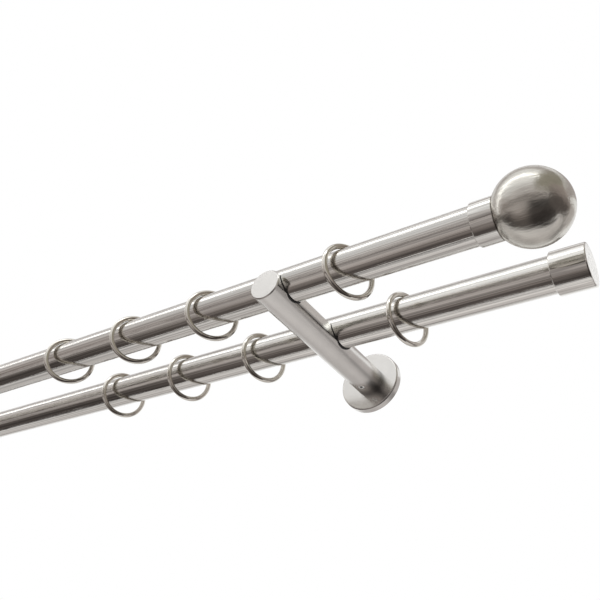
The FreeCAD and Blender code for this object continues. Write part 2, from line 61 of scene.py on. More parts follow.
# Points round a turned piece, along the ball's outline and round the ring's wire
AROUND = 96
AROUND_FINE = 128
AROUND_SCREW = 48
ALONG_BALL = 64
ALONG_BALL_INSIDE = 24
AROUND_WIRE = 24

# The angle above which an edge is rounded, the share of the edge rounding that a piece or the
# mouth of a sleeve gets, and the share of the sleeve's lip that is rounded
SHARP_EDGE = math.radians(32)
EDGE_SHARE = {
    "tube": 0.5, "bridge": 0.8, "lining": 0.25, "rosette": 0.8,
    "screw": 0.25, "sleeve": 0.3, "ball": 0.6, "cap": 0.4,
}
MOUTH_CHAMFER = 1.3
LIP_ROUND = 0.75

# Radius of the small face that closes a turned piece on its axis, and its angle on the ball
HUB = 0.02 * MM
BALL_TIP = 0.4

# From a piece drawn along its own Z to its direction in the frame
ALONG_X = Matrix.Rotation(math.radians(90), 4, "Y")
TOWARDS_ROOM = Matrix.Rotation(math.radians(90), 4, "X")
CROSSWISE = Matrix(((0, 0, 1, 0), (1, 0, 0, 0), (0, 1, 0, 0), (0, 0, 0, 1)))

# How far painted shade reaches from a joint into the satin metal, and the tone it leaves at the
# joint itself
ARM_PAINTED_SHADE = 9 * MM
SEAM_PAINTED_SHADE = 3.2 * MM
JOINT_SHADE_TONE = 0.35


# Sizes read from the solid model


def span(node):
    low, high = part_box(node)
    return high - low


def middle(node):
    low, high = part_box(node)
    return (low + high) / 2


def bracket_x(side):
    return middle(f"{side}_arm").x


def ball_seat():
    """Distances of the ball's flat seat and centre from the pole's end, and the ball's radius."""
    low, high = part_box("right_finial_ball")
    pole_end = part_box("front_pole")[1].x
    radius = (high.z - low.z) / 2
    return low.x - pole_end, high.x - pole_end - radius, radius


def length_property(name, description, default):
    return bpy.props.FloatProperty(
        name=name, description=description, default=default, unit="LENGTH"
    )


def colour_property(name, description, default):
    return bpy.props.FloatVectorProperty(
        name=name, description=description, default=default,
        size=3, min=0, max=1, subtype="COLOR",
    )


class CurtainSizes(bpy.types.PropertyGroup):
    pole_wall: length_property("Pole wall", "Wall of the pole tubes", 1.0 * MM)
    edge_round: length_property(
        "Edge rounding", "Rounding of the turned and sawn edges", 0.3 * MM
    )
    cap_round: length_property(
        "Cap rounding", "Rounding of the end cap's outer edge", 0.8 * MM
    )
    lining_proud: length_property(
        "Lining edge", "Lining standing out from the bridge's flats", 0.15 * MM
    )
    front_wall: length_property(
        "Front disc", "Thickness of the full disc at the arm's front end", 1.0 * MM
    )
    deck_drop: length_property(
        "Deck drop", "Level cut along the arm, below its axis", 3.0 * MM
    )
    channel_width: length_property(
        "Channel width", "Slot in the deck for the bridge's tongue", 8.0 * MM
    )
    bridge_gap: length_property(
        "Bridge gap", "Shadow gap between the bridge and the deck", 0.5 * MM
    )
    bridge_flat_top: length_property(
        "Bridge flats", "Top of the bridge's leaning flats, above the axis", 6.2 * MM
    )
    spigot_hole: length_property("Spigot hole", "Bore for the wall plate's peg", 12.2 * MM)
    spigot_bore_depth: length_property("Bore depth", "Depth of that bore in the arm", 22.0 * MM)
    arm_front_chamfer: length_property("Disc chamfer", "Edge of the arm's front disc", 0.6 * MM)
    sheet: length_property(
        "Sheet", "Wall of the rosette cup and of the ball's shell", 1.2 * MM
    )
    rosette_chamfer: length_property(
        "Rosette bevel", "Bevel round the rosette's front face", 0.6 * MM
    )
    key_across: length_property("Key size", "Hexagon socket across flats", 2.0 * MM)
    sleeve_lip: length_property(
        "Sleeve lip", "Sleeve's rim that rises round the ball", 0.4 * MM
    )
    neck_diameter: length_property("Neck", "Boss between sleeve and ball", 12.0 * MM)
    push_fit: length_property(
        "Push fit", "Gap on each side of parts pushed together", 0.05 * MM
    )
    ring_wire: length_property("Ring wire", "Curtain ring's round wire", 3.0 * MM)


class CurtainColours(bpy.types.PropertyGroup):
    steel: colour_property("Steel", "Brushed pole tubes, sleeves and caps", (0.775, 0.757, 0.722))
    ball: colour_property("Ball", "Satin ball finials", (0.775, 0.75, 0.69))
    satin: colour_property("Satin", "Satin bracket arms and rosettes", (0.74, 0.725, 0.70))
    bridge: colour_property("Bridge", "Satin bridges over the arms", (0.93, 0.93, 0.895))
    bright: colour_property("Bright", "Polished rings", (0.74, 0.71, 0.655))
    lining: colour_property("Lining", "Saddle linings", (0.012, 0.012, 0.013))
    zinc: colour_property("Zinc", "Wall plates", (0.62, 0.63, 0.64))
    fixing: colour_property("Fixing", "Grub screws", (0.95, 0.94, 0.92))


class CurtainStudio(bpy.types.PropertyGroup):
    floor: colour_property("Floor", "Plain pale floor", (0.82, 0.815, 0.80))
    floor_drop: length_property("Floor drop", "Floor below the brackets", 2.2)
    card_radius: length_property(
        "Card radius", "Distance of the curved card from the poles", 0.9
    )
    key: bpy.props.FloatProperty(
        name="Key lamp", description="Power of the strip lamp above the room side",
        default=5.6, min=0,
    )


# Modelling steps


def clear_selection():
    if bpy.context.object and bpy.context.object.mode != "OBJECT":
        bpy.ops.object.mode_set(mode="OBJECT")
    bpy.ops.object.select_all(action="DESELECT")


def make_active(piece):
    clear_selection()
    piece.select_set(True)
    bpy.context.view_layer.objects.active = piece


def turned(name, outline, closed=True, steps=AROUND):
    """A piece turned about Z: the outline's points are distances along the axis and radii."""
    clear_selection()
    along, radius = outline[0]
    bpy.ops.mesh.primitive_circle_add(vertices=steps, radius=radius, location=(0, 0, along))
    piece = bpy.context.object
    piece.name = name
    bpy.ops.object.transform_apply()
    bpy.ops.object.mode_set(mode="EDIT")
    bpy.ops.mesh.select_mode(type="EDGE")
    bpy.ops.mesh.select_all(action="SELECT")
    for next_along, next_radius in outline[1:] + outline[:1] * closed:
        step = (0, 0, next_along - along)
        bpy.ops.mesh.extrude_region_move(TRANSFORM_OT_translate={"value": step})
        scale = next_radius / radius
        bpy.ops.transform.resize(value=(scale, scale, 1), center_override=(0, 0, next_along))
        along, radius = next_along, next_radius
    bpy.ops.mesh.select_all(action="SELECT")
    bpy.ops.mesh.remove_doubles(threshold=HUB / 40)
    if not closed:
        bpy.ops.mesh.fill_holes(sides=0)
        bpy.ops.mesh.select_all(action="SELECT")
    bpy.ops.mesh.normals_make_consistent(inside=False)
    bpy.ops.object.mode_set(mode="OBJECT")
    return piece


def prism(name, section, start, end):
    """A bar with a drawn section: its points are across and up, and it runs along its own Z."""
    clear_selection()
    bpy.ops.mesh.primitive_circle_add(vertices=len(section), fill_type="NGON")
    piece = bpy.context.object
    piece.name = name
    for vertex, (across, up) in zip(piece.data.vertices, section):
        vertex.co = Vector((across, up, start))
    bpy.ops.object.mode_set(mode="EDIT")
    bpy.ops.mesh.select_all(action="SELECT")
    bpy.ops.mesh.extrude_region_move(TRANSFORM_OT_translate={"value": (0, 0, end - start)})
    bpy.ops.mesh.select_all(action="SELECT")
    bpy.ops.mesh.normals_make_consistent(inside=False)
    bpy.ops.object.mode_set(mode="OBJECT")
    return piece


def arc(centre, radius, start, end, steps):
    """Points of an arc in a drawn outline; angles in degrees from its first direction."""
    for step in range(steps + 1):
        angle = math.radians(start + (end - start) * step / steps)
        yield centre[0] + radius * math.cos(angle), centre[1] + radius * math.sin(angle)


def rounded_corner(along, radius, size, steps=5):
    """Points round an outer edge, from the turned side to the end face."""
    for step in range(steps + 1):
        angle = math.pi / 2 * step / steps
        yield along - size * (1 - math.sin(angle)), radius - size * (1 - math.cos(angle))


def round_bar(radius, length, centre, steps):
    """An upright bar, round or with as many flats as it has steps."""
    clear_selection()
    bpy.ops.mesh.primitive_cylinder_add(
        vertices=steps, radius=radius, depth=length, location=centre
    )
    bpy.ops.object.transform_apply()
    return bpy.context.object


def apply_modifier(piece, kind, **settings):
    make_active(piece)
    bpy.ops.object.modifier_add(type=kind)
    modifier = piece.modifiers[-1]
    for name, value in settings.items():
        setattr(modifier, name, value)
    bpy.ops.object.modifier_apply(modifier=modifier.name)


def carve(piece, tool):
    """Cuts the tool out of the piece and throws the tool away."""
    apply_modifier(piece, "BOOLEAN", operation="DIFFERENCE", object=tool, solver="EXACT")
    bpy.data.objects.remove(tool)


def slice_off(piece, point, outward):
    """Saws away what lies beyond a plane and closes the cut."""
    make_active(piece)
    bpy.ops.object.mode_set(mode="EDIT")
    bpy.ops.mesh.select_all(action="SELECT")
    bpy.ops.mesh.bisect(plane_co=point, plane_no=outward, use_fill=True, clear_outer=True)
    bpy.ops.object.mode_set(mode="OBJECT")


def soften(piece, width, segments=3):
    """Rounds the sharp edges and shades the rest smooth."""
    apply_modifier(
        piece, "BEVEL", width=width, segments=segments,
        limit_method="ANGLE", angle_limit=SHARP_EDGE, harden_normals=False,
    )
    make_active(piece)
    bpy.ops.object.shade_smooth_by_angle(angle=SHARP_EDGE)
    apply_modifier(piece, "WEIGHTED_NORMAL", keep_sharp=True)


def lay(piece, matrix):
    """Puts the place into the mesh, so that the object itself stays at the origin."""
    piece.data.transform(matrix)
    piece.data.update()
    return piece


def copy_of(piece, name, matrix):
    """A copy with its own mesh, moved by the matrix."""
    twin = piece.copy()
    twin.data = piece.data.copy()
    twin.name = name
    bpy.context.scene.collection.objects.link(twin)
    return lay(twin, matrix)


def hand_over(piece, node, material, body=SET):
    """Gives the piece its finish, its body and the solid that it stands for."""
    piece.data.materials.clear()
    piece.data.materials.append(material)
    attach(piece, body)
    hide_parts(node)


def on_both_brackets(pattern, part, material, slot):
    """Copies a piece drawn round the arm's axis to both brackets."""
    for side in SIDES:
        place = Matrix.Translation((bracket_x(side), 0, 0))
        twin = copy_of(pattern, f"{side}_{slot}_piece", place)
        hand_over(twin, f"{side}_{part}", material)
    bpy.data.objects.remove(pattern)


def on_both_ends(pattern, part, pole, material, slot):
    """Copies a piece drawn from the pole's end outwards along Z to both ends of the pole."""
    reach = span(pole).x / 2
    for side, sign in SIDES.items():
        facing = Matrix.Rotation(math.radians(90 * sign), 4, "Y")
        place = Matrix.Translation(middle(pole) + Vector((sign * reach, 0, 0))) @ facing
        twin = copy_of(pattern, f"{side}_{slot}_piece", place)
        hand_over(twin, f"{side}_{part}", material)
    bpy.data.objects.remove(pattern)


# Finishes: the scales of their patterns are waves per metre along X, Y and Z


class Level:
    """A value that varies over a finish. Sums and products of it add their own Math nodes."""

    def __init__(self, web, socket):
        self.web = web
        self.socket = socket

    def _maths(self, operation, first, second):
        return self.web.node("ShaderNodeMath", {"operation": operation}, {0: first, 1: second})

    def __add__(self, other):
        return self._maths("ADD", self, other)

    def __radd__(self, other):
        return self._maths("ADD", other, self)

    def __sub__(self, other):
        return self._maths("SUBTRACT", self, other)

    def __rsub__(self, other):
        return self._maths("SUBTRACT", other, self)

    def __mul__(self, other):
        return self._maths("MULTIPLY", self, other)

    def __rmul__(self, other):
        return self._maths("MULTIPLY", other, self)


class NodeWeb:
    """A node tree that is built from calls."""

    def __init__(self, tree):
        self.tree = tree

    def node(self, kind, settings=None, sockets=None, output=0):
        made = self.tree.nodes.new(kind)
        for name, value in (settings or {}).items():
            if name == "stops":
                self._set_stops(made.color_ramp, value)
            else:
                setattr(made, name, value)
        for name, value in (sockets or {}).items():
            self._feed(made.inputs[name], value)
        return Level(self, made.outputs[output]) if made.outputs else None

    def _feed(self, socket, value):
        if isinstance(value, Level):
            self.tree.links.new(value.socket, socket)
        else:
            socket.default_value = value

    def _set_stops(self, ramp, stops):
        while len(ramp.elements) < len(stops):
            ramp.elements.new(1.0)
        for element, (place, colour) in zip(ramp.elements, stops):
            element.position = place
            element.color = (*colour, 1)


class Finish(NodeWeb):
    """A material and its node tree."""

    def __init__(self, name):
        self.material = bpy.data.materials.new(name)
        self.material.use_nodes = True
        super().__init__(self.material.node_tree)
        self.shader = self.tree.nodes["Principled BSDF"]

    def surface(self, **sockets):
        """Sets or links the shader's own sockets, whose names have underscores for spaces here."""
        for name, value in sockets.items():
            self._feed(self.shader.inputs[name.replace("_", " ")], value)
        return self.material

    def place(self, scale=(1, 1, 1)):
        """A point of the piece in the frame, stretched for a grain pattern."""
        own = self.node("ShaderNodeTexCoord", output="Object")
        return self.node("ShaderNodeMapping", None, {"Vector": own, "Scale": scale})

    def coordinate(self, axis):
        """How far a point lies along one axis of the frame."""
        return self.node("ShaderNodeSeparateXYZ", None, {"Vector": self.place()}, output=axis)

    def noise(self, place, detail=2.0, roughness=0.5):
        return self.node(
            "ShaderNodeTexNoise", None,
            {"Vector": place, "Scale": 1.0, "Detail": detail, "Roughness": roughness},
        )

    def rise(self, level, start, end):
        """0 up to the start, 1 from the end, smooth between them."""
        return self.node(
            "ShaderNodeMapRange", {"interpolation_type": "SMOOTHSTEP"},
            {"Value": level, "From Min": start, "From Max": end},
        )

    def window(self, level, opening, closing):
        """1 from the opening's end up to the closing's start, 0 outside both."""
        return self.rise(level, *opening) * (1 - self.rise(level, *closing))

    def shade(self, colour, level, low, high):
        """The colour, dimmed and brightened between two factors by a level from 0 to 1."""
        dark = (*(part * low for part in colour), 1)
        light = (*(min(part * high, 1) for part in colour), 1)
        return self.node(
            "ShaderNodeMix", {"data_type": "RGBA", "clamp_factor": True},
            {"Factor": level, 6: dark, 7: light}, output=2,
        )

    def blend(self, level, first, second):
        """The first colour where the level is 0, the second where it is 1."""
        return self.node(
            "ShaderNodeMix", {"data_type": "RGBA"},
            {"Factor": level, 6: first, 7: second}, output=2,
        )

    def dim(self, colour, level):
        """A colour multiplied by a level."""
        return self.node(
            "ShaderNodeMix", {"data_type": "RGBA", "blend_type": "MULTIPLY"},
            {"Factor": 1.0, 6: colour, 7: level}, output=2,
        )

    def relief(self, height, depth):
        return self.node("ShaderNodeBump", None, {"Height": height, "Distance": depth})


def pole_steel(colour):
    """Tube steel brushed along its length: broad streaks, fine scratches and a few darker lines."""
    finish = Finish("Pole steel, brushed lengthwise")
    streaks = finish.noise(finish.place((1.5, 900, 900)), detail=3.0, roughness=0.7)
    scratches = finish.noise(finish.place((45, 4200, 4200)))
    lines = finish.rise(streaks, 0.36, 0.60)
    finish.surface(
        Base_Color=finish.shade(colour, lines * 0.8 + scratches * 0.2, 0.60, 1.14),
        Metallic=1.0,
        Roughness=0.07 + scratches * 0.04,
        Normal=finish.relief(streaks + scratches * 0.3, 0.10 * MM),
    )
    return finish.material


def satin_nickel(name, colour, polish, painted_shade=None):
    """Cast and tumbled bracket metal: an even, very fine grain, and painted shade towards a joint.
    """
    finish = Finish(name)
    clouds = finish.noise(finish.place((180, 120, 180)))
    grain = finish.noise(finish.place((3500, 1800, 3500)))
    tone = finish.shade(colour, clouds, 0.93, 1.05)
    # Painted shade: the colour darkens towards a joint, where shade falls in the corner.
    if painted_shade:
        axis, joint, shade_end = painted_shade
        unshaded = finish.rise(finish.coordinate(axis), joint, shade_end)
        tone = finish.dim(tone, JOINT_SHADE_TONE + unshaded * (1 - JOINT_SHADE_TONE))
    finish.surface(
        Base_Color=tone,
        Metallic=1.0,
        Roughness=polish + grain * 0.10,
        Normal=finish.relief(grain, 0.004 * MM),
    )
    return finish.material


def turned_steel(colour):
    """Steel brushed along the pole's axis on a turned piece: fine streaks and soft clouds."""
    finish = Finish("Turned steel")
    streaks = finish.noise(finish.place((25, 900, 900)), detail=3.0, roughness=0.6)
    clouds = finish.noise(finish.place((60, 260, 260)))
    lines = finish.rise(streaks, 0.35, 0.65)
    finish.surface(
        Base_Color=finish.shade(colour, lines * 0.7 + clouds * 0.3, 0.66, 1.2),
        Metallic=1.0,
        Roughness=0.1 + clouds * 0.05,
        Normal=finish.relief(streaks, 0.05 * MM),
    )
    return finish.material


def socket_steel(colour, mouth):
    """Bright plated screw with painted shade in its socket, darker and duller with its depth."""
    finish = Finish("Grub screw steel")
    # Painted shade: the socket goes black, less metallic and rougher deeper down, where shade falls
    # in the recess.
    depth = finish.rise(finish.coordinate("Z"), mouth + 0.1 * MM, mouth + 0.5 * MM)
    finish.surface(
        Base_Color=finish.blend(depth, (*colour, 1), (0.01, 0.01, 0.01, 1)),
        Metallic=0.4 - depth * 0.4,
        Roughness=0.3 + depth * 0.5,
    )
    return finish.material


def ball_steel(colour):
    """Satin ball: soft brushing and faint clouds over a bright ground."""
    finish = Finish("Ball steel, satin")
    brushing = finish.noise(finish.place((30, 330, 330)), detail=3.0, roughness=0.65)
    clouds = finish.noise(finish.place((50, 110, 110)))
    finish.surface(
        Base_Color=finish.shade(colour, brushing * 0.5 + clouds * 0.5, 0.60, 1.06),
        Metallic=1.0,
        Roughness=0.17 + brushing * 0.12,
        Normal=finish.relief(brushing + clouds, 0.2 * MM),
    )
    return finish.material


def bright_wire(colour):
    """Drawn and polished ring wire."""
    finish = Finish("Ring wire, polished")
    wear = finish.noise(finish.place((700, 700, 700)))
    finish.surface(
        Base_Color=finish.shade(colour, wear, 0.94, 1.03),
        Metallic=1.0,
        Roughness=0.03 + wear * 0.05,
        Normal=finish.relief(wear, 0.004 * MM),
    )
    return finish.material


def black_lining(colour):
    """Matt black moulded lining."""
    finish = Finish("Black lining")
    grain = finish.noise(finish.place((2500, 2500, 2500)))
    finish.surface(
        Base_Color=finish.shade(colour, grain, 0.8, 1.3),
        Metallic=0.0,
        Roughness=0.55 + grain * 0.2,
        Normal=finish.relief(grain, 0.01 * MM),
    )
    return finish.material


def zinc_plate(colour):
    """Zinc plated pressing, slightly spangled."""
    finish = Finish("Zinc plate")
    place = finish.place((420, 420, 420))
    spangle = finish.node("ShaderNodeTexVoronoi", None, {"Vector": place, "Scale": 1.0})
    finish.surface(
        Base_Color=finish.shade(colour, spangle, 0.85, 1.1),
        Metallic=1.0,
        Roughness=0.32 + spangle * 0.12,
    )
    return finish.material


FINISHES = {}


def finish_named(key, maker, *details):
    """One material of each kind, shared by all pieces that have it."""
    if key not in FINISHES:
        FINISHES[key] = maker(*details)
    return FINISHES[key]


# Pieces


class CURTAIN_OT_poles(bpy.types.Operator):
    """Both pole tubes"""

    bl_idname = "curtain.poles"
    bl_label = "Poles"

    def execute(self, context):
        scene = context.scene
        steel = finish_named("pole", pole_steel, scene.curtain_colours.steel)
        for node in ("front_pole", "rear_pole"):
            half, radius = span(node).x / 2, span(node).z / 2
            bore = radius - scene.curtain_sizes.pole_wall
            tube = turned(f"{node}_tube", [
                (-half, radius), (half, radius), (half, bore), (-half, bore),
            ])
            lay(tube, Matrix.Translation(middle(node)) @ ALONG_X)
            soften(tube, scene.curtain_sizes.edge_round * EDGE_SHARE["tube"])
            hand_over(tube, node, steel)
        return {"FINISHED"}


def saddle_tools():
    """Cutting tools for the two U-shaped saddles, in the arm's own coordinates."""
    wide = span("right_arm").x
    for row in ROWS:
        low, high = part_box(f"right_{row}_saddle_pad")
        radius = (high.y - low.y) / 2
        centre = ((low.y + high.y) / 2, low.z + radius)
        top = centre[1] + wide
        section = [*arc(centre, radius, 180, 360, AROUND // 2), (high.y, top), (low.y, top)]
        yield lay(prism("saddle_tool", section, -wide, wide), CROSSWISE)


class BridgeFlats:
    """The bridge's two leaning flats: their foot, their top and the direction that they face."""

    def __init__(self, sizes):
        self.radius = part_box("right_saddle_bridge")[1].z
        self.foot = sizes.bridge_gap - sizes.deck_drop
        self.foot_across = math.sqrt(self.radius ** 2 - self.foot ** 2)
        self.top = sizes.bridge_flat_top
        across = self.foot_across - math.sqrt(self.radius ** 2 - self.top ** 2)
        self.facing = Vector((self.top - self.foot, 0, across)).normalized()

    def saw(self, piece, proud=0.0):
        for sign in (-1, 1):
            point = (sign * (self.foot_across + proud), 0, self.foot)
            slice_off(piece, point, (sign * self.facing.x, 0, self.facing.z))


class CURTAIN_OT_arms(bpy.types.Operator):
    """Bracket arms: a round bar with a bore for the peg, a level deck, a channel and two saddles"""

    bl_idname = "curtain.arms"
    bl_label = "Bracket arms"

    def execute(self, context):
        scene = context.scene
        sizes = scene.curtain_sizes
        radius = span("right_arm").x / 2
        low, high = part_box("right_arm")
        back, front = -high.y, -low.y
        bore = sizes.spigot_hole / 2
        chamfer = sizes.arm_front_chamfer
        bore_end = back + sizes.spigot_bore_depth
        arm = turned("arm_pattern", [
            (bore_end, HUB),
            (bore_end, bore),
            (back, bore),
            (back, radius),
            (front - chamfer, radius),
            (front, radius - chamfer),
            (front, HUB),
        ], closed=False)
        lay(arm, TOWARDS_ROOM)
        deck_front = front - sizes.front_wall
        deck_back = -middle("right_rear_saddle_pad").y
        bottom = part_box("right_saddle_bridge")[0].z
        slot, deck, clear = sizes.channel_width / 2, -sizes.deck_drop, radius * 2
        section = [
            (-slot, bottom), (slot, bottom), (slot, deck), (clear, deck),
            (clear, clear), (-clear, clear), (-clear, deck), (-slot, deck),
        ]
        carve(arm, lay(prism("deck_tool", section, deck_back, deck_front), TOWARDS_ROOM))
        for tool in saddle_tools():
            carve(arm, tool)
        hole = (0, middle("right_grub_screw").y, -radius)
        carve(arm, round_bar(span("right_grub_screw").x / 2, radius, hole, AROUND_SCREW))
        soften(arm, sizes.edge_round)
        wall_end = -span("right_rosette").y
        # Painted shade: the arm's colour darkens towards the rosette, in the corner at the wall.
        material = finish_named(
            "satin", satin_nickel, "Satin nickel", scene.curtain_colours.satin, 0.20,
            ("Y", wall_end, wall_end - ARM_PAINTED_SHADE),
        )
        on_both_brackets(arm, "arm", material, "bracket_arm")
        return {"FINISHED"}


class CURTAIN_OT_bridges(bpy.types.Operator):
    """Bridges let into the arms between and around the saddles, with leaning flats"""

    bl_idname = "curtain.bridges"
    bl_label = "Saddle bridges"

    def execute(self, context):
        scene = context.scene
        sizes = scene.curtain_sizes
        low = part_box("right_saddle_bridge")[0]
        flats = BridgeFlats(sizes)
        back = sizes.push_fit - middle("right_rear_saddle_pad").y
        half = sizes.channel_width / 2 - sizes.push_fit
        corner = math.degrees(math.asin(flats.top / flats.radius))
        section = [
            (-flats.foot_across, flats.foot), (-half, flats.foot), (-half, low.z),
            (half, low.z), (half, flats.foot), (flats.foot_across, flats.foot),
            *arc((0, 0), flats.radius, corner, 180 - corner, AROUND // 4),
        ]
        bridge = lay(prism("bridge_pattern", section, back, -low.y), TOWARDS_ROOM)
        for tool in saddle_tools():
            carve(bridge, tool)
        soften(bridge, sizes.edge_round * EDGE_SHARE["bridge"])
        # Painted shade: the flats' colour darkens towards their foot at the seam with the deck.
        material = finish_named(
            "bridge", satin_nickel, "Satin nickel, milled", scene.curtain_colours.bridge, 0.20,
            ("Z", flats.foot, flats.foot + SEAM_PAINTED_SHADE),
        )
        on_both_brackets(bridge, "saddle_bridge", material, "saddle_bridge")
        return {"FINISHED"}


class CURTAIN_OT_pads(bpy.types.Operator):
    """Black linings in the saddles"""

    bl_idname = "curtain.pads"
    bl_label = "Saddle linings"

    def execute(self, context):
        scene = context.scene
        sizes = scene.curtain_sizes
        lining = finish_named("lining", black_lining, scene.curtain_colours.lining)
        flats = BridgeFlats(sizes)
        wide = 2 * (flats.foot_across + sizes.lining_proud)
        for row in ROWS:
            low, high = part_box(f"right_{row}_saddle_pad")
            radius = (high.y - low.y) / 2
            depth, steps = (low.y + high.y) / 2, AROUND // 2
            section = [
                (low.y, high.z),
                *arc((depth, low.z + radius), radius, 180, 360, steps),
                (high.y, high.z),
                *arc((depth, high.z), span(f"{row}_pole").z / 2, 360, 180, steps),
            ]
            lining_pattern = lay(prism("lining_pattern", section, -wide / 2, wide / 2), CROSSWISE)
            flats.saw(lining_pattern, sizes.lining_proud)
            soften(lining_pattern, sizes.edge_round * EDGE_SHARE["lining"], segments=2)
            for side in SIDES:
                place = Matrix.Translation((bracket_x(side), 0, 0))
                twin = copy_of(lining_pattern, f"{side}_{row}_lining", place)
                hand_over(twin, f"{side}_{row}_saddle_pad", lining)
            bpy.data.objects.remove(lining_pattern)
        return {"FINISHED"}


class CURTAIN_OT_rosettes(bpy.types.Operator):
    """Cover cups against the wall"""

    bl_idname = "curtain.rosettes"
    bl_label = "Rosettes"

    def execute(self, context):
        scene = context.scene
        sizes = scene.curtain_sizes
        rim, depth = span("right_rosette").x / 2, span("right_rosette").y
        hole = sizes.spigot_hole / 2
        cup = turned("rosette_pattern", [
            (depth, hole),
            (depth, rim - sizes.rosette_chamfer),
            (depth - sizes.rosette_chamfer, rim),
            (0, rim),
            (0, rim - sizes.sheet),
            (depth - sizes.sheet, rim - sizes.sheet),
            (depth - sizes.sheet, hole),
        ])
        lay(cup, TOWARDS_ROOM)
        soften(cup, sizes.edge_round * EDGE_SHARE["rosette"])
        material = finish_named(
            "cup", satin_nickel, "Satin nickel, pressed", scene.curtain_colours.satin, 0.14
        )
        on_both_brackets(cup, "rosette", material, "rosette")
        return {"FINISHED"}


class CURTAIN_OT_wall_plates(bpy.types.Operator):
    """Wall plates, which keep their solid model and get their plating"""

    bl_idname = "curtain.wall_plates"
    bl_label = "Wall plates"

    def execute(self, context):
        zinc = finish_named("zinc", zinc_plate, context.scene.curtain_colours.zinc)
        for side in SIDES:
            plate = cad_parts[f"{side}_wall_plate"]
            plate.data.materials.clear()
            plate.data.materials.append(zinc)
        return {"FINISHED"}


class CURTAIN_OT_grub_screws(bpy.types.Operator):
    """Grub screws with a hexagon socket in the arms' undersides"""

    bl_idname = "curtain.grub_screws"
    bl_label = "Grub screws"

    def execute(self, context):
        scene = context.scene
        sizes = scene.curtain_sizes
        low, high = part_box("right_grub_screw")
        radius = (high.x - low.x) / 2
        chamfer = sizes.arm_front_chamfer / 2
        length = high.z - low.z
        screw = turned("grub_pattern", [
            (0, radius - chamfer),
            (chamfer, radius),
            (length - chamfer, radius),
            (length, radius - chamfer),
        ], closed=False, steps=AROUND_SCREW)
        key = round_bar(sizes.key_across / math.sqrt(3), length, (0, 0, 0), 6)
        carve(screw, key)
        lay(screw, Matrix.Translation((0, middle("right_grub_screw").y, low.z)))
        soften(screw, sizes.edge_round * EDGE_SHARE["screw"], segments=2)
        steel = finish_named("grub", socket_steel, scene.curtain_colours.fixing, low.z)
        on_both_brackets(screw, "grub_screw", steel, "grub_screw")
        return {"FINISHED"}


class CURTAIN_OT_sleeves(bpy.types.Operator):
    """Sleeves that carry the ball finials on the front pole"""

    bl_idname = "curtain.sleeves"
    bl_label = "Finial sleeves"

    def execute(self, context):
        scene = context.scene
        sizes = scene.curtain_sizes
        low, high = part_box("right_finial_sleeve")
        radius = span("right_finial_sleeve").z / 2
        hole = span("front_pole").z / 2 + sizes.push_fit
        pole_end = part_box("front_pole")[1].x
        mouth, neck_end = low.x - pole_end, high.x - pole_end
        seat, centre, ball_radius = ball_seat()
        flat = math.sqrt(ball_radius ** 2 - (centre - seat) ** 2) + 2 * sizes.push_fit
        lip = radius - sizes.sleeve_lip
        lip_end = centre - math.sqrt(ball_radius ** 2 - lip ** 2) - sizes.push_fit
        neck = sizes.neck_diameter / 2
        chamfer = sizes.edge_round * MOUTH_CHAMFER
        sleeve = turned("sleeve_pattern", [
            (0, HUB),
            (0, hole),
            (mouth, hole),
            (mouth, radius - chamfer),
            (mouth + chamfer, radius),
            *rounded_corner(lip_end, radius, sizes.sleeve_lip * LIP_ROUND),
            (lip_end, lip),
            (seat, flat),
            (seat, neck),
            (neck_end, neck),
            (neck_end, HUB),
        ], closed=False)
        soften(sleeve, sizes.edge_round * EDGE_SHARE["sleeve"], segments=2)
        steel = finish_named("turned", turned_steel, scene.curtain_colours.steel)
        on_both_ends(sleeve, "finial_sleeve", "front_pole", steel, "finial_sleeve")
        return {"FINISHED"}


class CURTAIN_OT_balls(bpy.types.Operator):
    """Hollow ball finials with a flat seat on their sleeve"""

    bl_idname = "curtain.balls"
    bl_label = "Finial balls"

    def execute(self, context):
        scene = context.scene
        sizes = scene.curtain_sizes
        seat, centre, radius = ball_seat()
        neck = sizes.neck_diameter / 2
        inside = radius - sizes.sheet
        seat_angle = math.degrees(math.acos((seat - centre) / radius))
        inner_angle = math.degrees(math.acos((seat + sizes.sheet - centre) / inside))
        ball = turned("ball_pattern", [
            *arc((centre, 0), radius, BALL_TIP, seat_angle, ALONG_BALL),
            (seat, neck),
            (seat + sizes.sheet, neck),
            *arc((centre, 0), inside, inner_angle, BALL_TIP, ALONG_BALL_INSIDE),
        ], closed=False, steps=AROUND_FINE)
        soften(ball, sizes.edge_round * EDGE_SHARE["ball"])
        steel = finish_named("ball", ball_steel, scene.curtain_colours.ball)
        on_both_ends(ball, "finial_ball", "front_pole", steel, "finial_ball")
        return {"FINISHED"}


class CURTAIN_OT_caps(bpy.types.Operator):
    """Flat end caps on the rear pole"""

    bl_idname = "curtain.caps"
    bl_label = "End caps"

    def execute(self, context):
        scene = context.scene
        sizes = scene.curtain_sizes
        low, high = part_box("right_end_cap")
        radius = span("right_end_cap").z / 2
        pole_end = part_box("rear_pole")[1].x
        mouth, face = low.x - pole_end, high.x - pole_end
        hole = span("rear_pole").z / 2 + sizes.push_fit
        chamfer = sizes.edge_round * MOUTH_CHAMFER
        cap = turned("cap_pattern", [
            (0, HUB),
            (0, hole),
            (mouth, hole),
            (mouth, radius - chamfer),
            (mouth + chamfer, radius),
            *rounded_corner(face, radius, sizes.cap_round),
            (face, HUB),
        ], closed=False)
        soften(cap, sizes.edge_round * EDGE_SHARE["cap"], segments=2)
        steel = finish_named("turned", turned_steel, scene.curtain_colours.steel)
        on_both_ends(cap, "end_cap", "rear_pole", steel, "end_cap")
        return {"FINISHED"}


